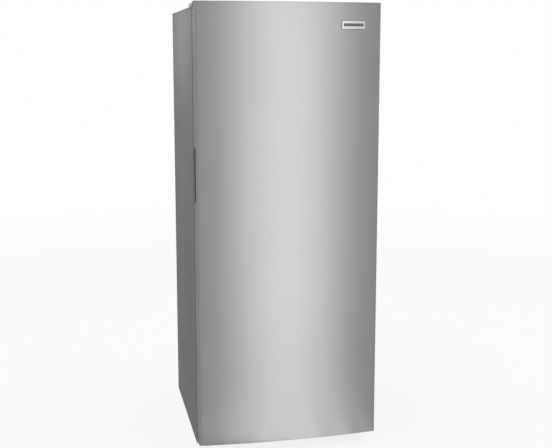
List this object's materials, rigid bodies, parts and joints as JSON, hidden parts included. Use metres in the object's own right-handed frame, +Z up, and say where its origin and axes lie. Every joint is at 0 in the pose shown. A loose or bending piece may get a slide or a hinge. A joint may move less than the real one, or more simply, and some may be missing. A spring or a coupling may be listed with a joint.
{
  "type": "upright freezer",
  "caption": "Tall upright freezer with a bowed steel door, side pocket handle, wire shelves, pull-out basket, door bins and a rear machine compartment.",
  "frame": {"origin": "centre of the footprint of the whole object, at floor level", "axes": "+Z up, front of the door towards -Y, +X to the right seen from the front; the door is hinged on the +X side"},
  "size_m": [0.711, 0.76, 1.742],
  "materials": {
    "door_steel": "satin",
    "side_paint": "satin",
    "grey_plastic": "satin",
    "white_plastic": "satin",
    "zinc_steel": "satin",
    "black_paint": "satin",
    "heater_sheath": "satin",
    "black_plastic": "matte",
    "copper_tube": "satin",
    "bare_aluminium": "satin",
    "insulation": "matte",
    "grey_rubber": "matte",
    "white_wire": "gloss",
    "clear_plastic": "gloss",
    "bright_plate": "satin"
  },
  "bodies": {
    "cabinet": {"cabinet_wrapper": "side_paint", "hinge_cover_right": "grey_plastic", "corner_cover_left": "grey_plastic", "inner_liner": "white_plastic", "evaporator_cover": "white_plastic", "control_housing": "white_plastic", "basket_rail_left": "white_plastic", "basket_rail_right": "white_plastic", "evaporator_fan_motor": "white_plastic", "back_panel": "zinc_steel", "base_frame": "zinc_steel", "machine_bulkhead": "zinc_steel", "compressor_tray": "zinc_steel", "rear_cover": "zinc_steel", "condenser_fan_shroud": "zinc_steel", "upper_hinge_bracket": "zinc_steel", "lower_hinge_bracket": "zinc_steel", "roller_axle": "zinc_steel", "compressor": "black_paint", "condenser_coil": "black_paint", "condenser_fan_motor": "black_paint", "defrost_heater": "heater_sheath", "relay_box": "black_plastic", "drain_pan": "black_plastic", "power_inlet": "black_plastic", "suction_line": "copper_tube", "discharge_line": "copper_tube", "filter_drier": "copper_tube", "evaporator_coil": "bare_aluminium", "cabinet_foam": "insulation", "rear_foam": "insulation", "drain_tube": "grey_rubber", "shelf_1": "white_wire", "shelf_2": "white_wire", "shelf_3": "white_wire", "shelf_4": "white_wire", "lamp_lens": "clear_plastic"},
    "door": {"door_skin": "door_steel", "door_top_cap": "grey_plastic", "door_bottom_cap": "grey_plastic", "door_foam": "insulation", "door_liner": "white_plastic", "door_gasket": "grey_rubber", "handle_pocket": "grey_plastic", "name_plate": "bright_plate", "hinge_bush_upper": "white_plastic", "hinge_bush_lower": "white_plastic"},
    "door_bin_1": {"door_bin_1": "clear_plastic"},
    "door_bin_2": {"door_bin_2": "clear_plastic"},
    "door_bin_3": {"door_bin_3": "clear_plastic"},
    "door_bin_4": {"door_bin_4": "clear_plastic"},
    "basket": {"basket": "white_wire"},
    "knob": {"temperature_knob": "grey_plastic"},
    "plunger": {"light_switch_plunger": "white_plastic"},
    "evaporator_fan": {"evaporator_fan_blade": "white_plastic"},
    "condenser_fan": {"condenser_fan_blade": "black_plastic"},
    "leg_left": {"levelling_leg_left": "black_plastic"},
    "leg_right": {"levelling_leg_right": "black_plastic"},
    "roller_left": {"roller_left": "black_plastic"},
    "roller_right": {"roller_right": "black_plastic"}
  },
  "joints": [
    {"name": "door_hinge", "type": "hinge", "parent": "cabinet", "child": "door", "pos_m": [0.3415, -0.325, 0.9], "axis": [0, 0, 1], "range_deg": [0, 120]},
    {"name": "door_bin_1_lift", "type": "slide", "parent": "door", "child": "door_bin_1", "axis": [0, 0, 1], "range_m": [0, 0.03]},
    {"name": "door_bin_2_lift", "type": "slide", "parent": "door", "child": "door_bin_2", "axis": [0, 0, 1], "range_m": [0, 0.03]},
    {"name": "door_bin_3_lift", "type": "slide", "parent": "door", "child": "door_bin_3", "axis": [0, 0, 1], "range_m": [0, 0.03]},
    {"name": "door_bin_4_lift", "type": "slide", "parent": "door", "child": "door_bin_4", "axis": [0, 0, 1], "range_m": [0, 0.03]},
    {"name": "basket_slide", "type": "slide", "parent": "cabinet", "child": "basket", "axis": [0, -1, 0], "range_m": [0, 0.045]},
    {"name": "knob_turn", "type": "hinge", "parent": "cabinet", "child": "knob", "pos_m": [0.06, -0.19, 1.6455], "axis": [0, -1, 0], "range_deg": [0, 270]},
    {"name": "plunger_slide", "type": "slide", "parent": "cabinet", "child": "plunger", "axis": [0, -1, 0], "range_m": [0, 0.006]},
    {"name": "evaporator_fan_spin", "type": "hinge", "parent": "cabinet", "child": "evaporator_fan", "pos_m": [0, 0.265, 0.66], "axis": [0, 1, 0], "continuous": true},
    {"name": "condenser_fan_spin", "type": "hinge", "parent": "cabinet", "child": "condenser_fan", "pos_m": [-0.08, 0.255, 0.155], "axis": [1, 0, 0], "continuous": true},
    {"name": "leg_left_screw", "type": "slide", "parent": "cabinet", "child": "leg_left", "axis": [0, 0, -1], "range_m": [0, 0.012]},
    {"name": "roller_left_spin", "type": "hinge", "parent": "cabinet", "child": "roller_left", "pos_m": [-0.3342, 0.335, 0.013], "axis": [1, 0, 0], "continuous": true},
    {"name": "leg_right_screw", "type": "slide", "parent": "cabinet", "child": "leg_right", "axis": [0, 0, -1], "range_m": [0, 0.012]},
    {"name": "roller_right_spin", "type": "hinge", "parent": "cabinet", "child": "roller_right", "pos_m": [0.3342, 0.335, 0.013], "axis": [1, 0, 0], "continuous": true}
  ],
  "couplings": [
    {"joint": "plunger_slide", "follows": "door_hinge", "m_per_rad": 0.0028}
  ]
}
